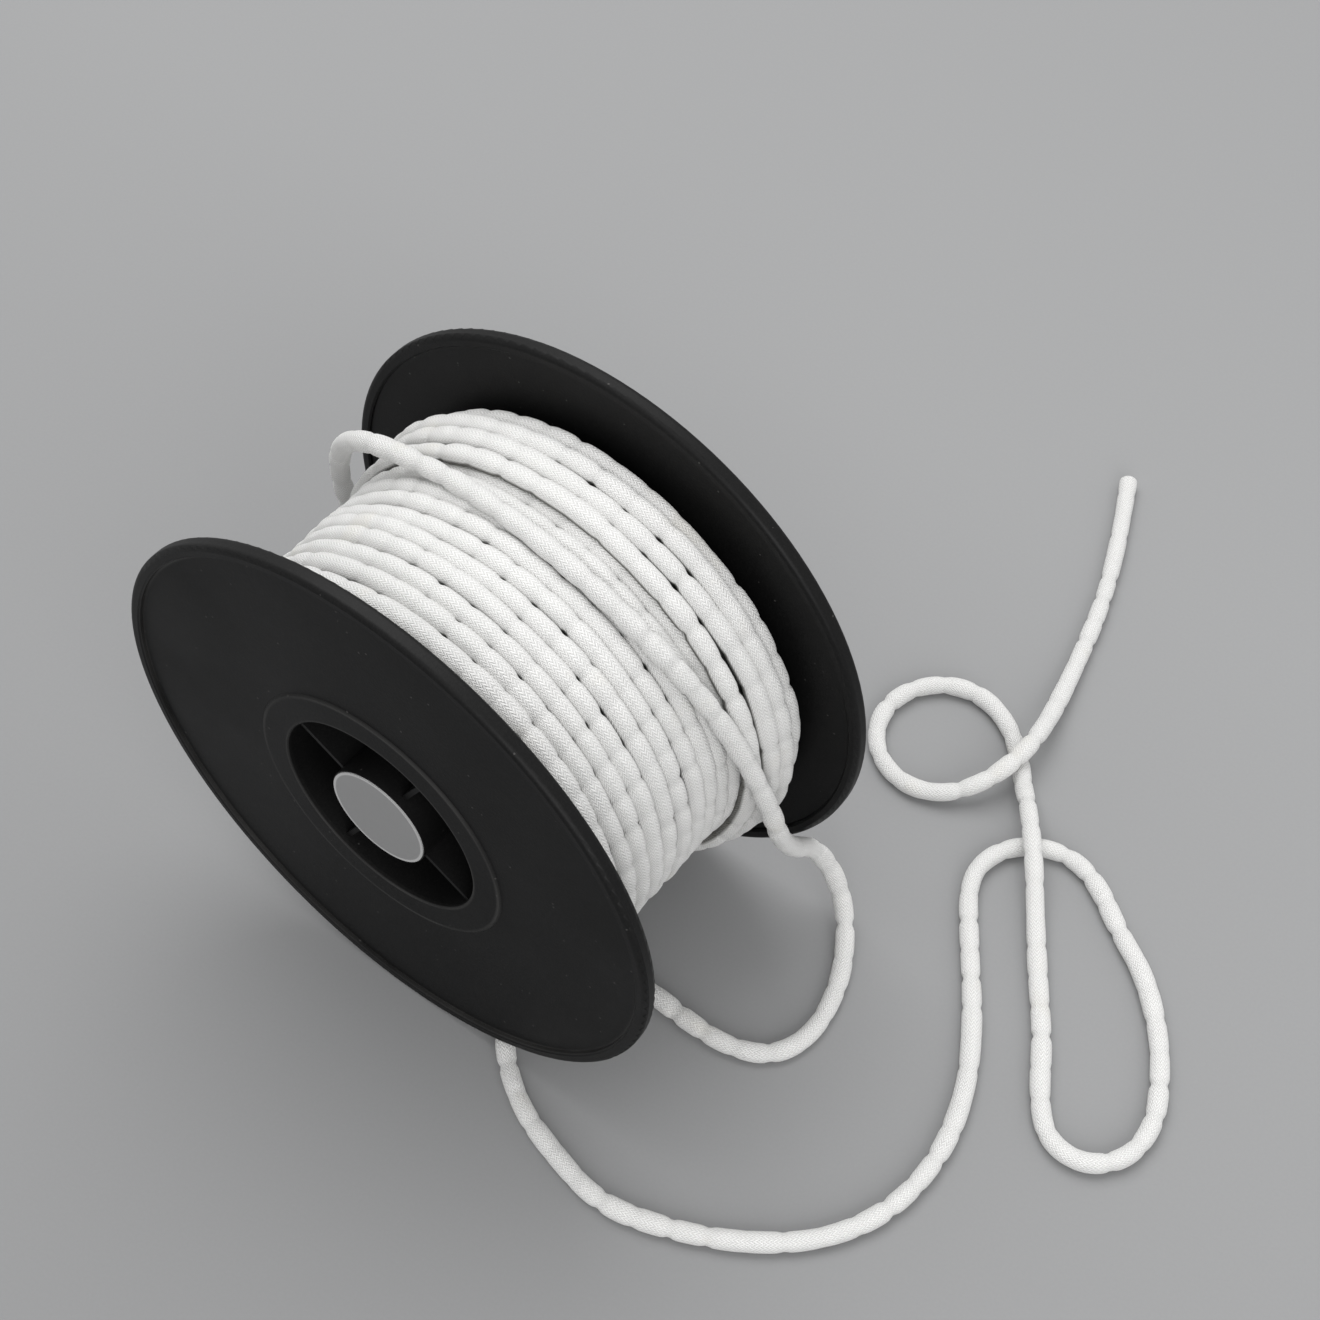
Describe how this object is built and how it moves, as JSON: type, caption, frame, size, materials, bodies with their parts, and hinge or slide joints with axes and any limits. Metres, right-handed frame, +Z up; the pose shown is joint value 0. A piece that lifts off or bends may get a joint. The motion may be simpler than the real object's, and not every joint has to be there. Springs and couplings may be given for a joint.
{
  "type": "cord reel",
  "caption": "Two-piece moulded plastic spool with broad rimmed flanges and a ribbed open hub, wound with thick braided cord whose loose end lies coiled beside it.",
  "frame": {"origin": "on the floor under the spool's centre, midway between the two flanges, which stand on their rims", "axes": "+Z up, +Y along the spool's axis from the labelled front flange to the rear flange, +X to the right seen from the front"},
  "size_m": [0.3234, 0.3633, 0.2],
  "materials": {
    "spool_plastic": "recycled black moulded plastic with a satin skin",
    "label_paper": "grey printed film label, left plain",
    "braided_cord": "white braided polyester, slightly lumpy"
  },
  "bodies": {
    "root": {"front_half": "spool_plastic", "rear_half": "spool_plastic", "hub_label": "label_paper", "winding_core": "braided_cord", "outer_turns": "braided_cord", "loose_cord": "braided_cord"}
  },
  "joints": []
}
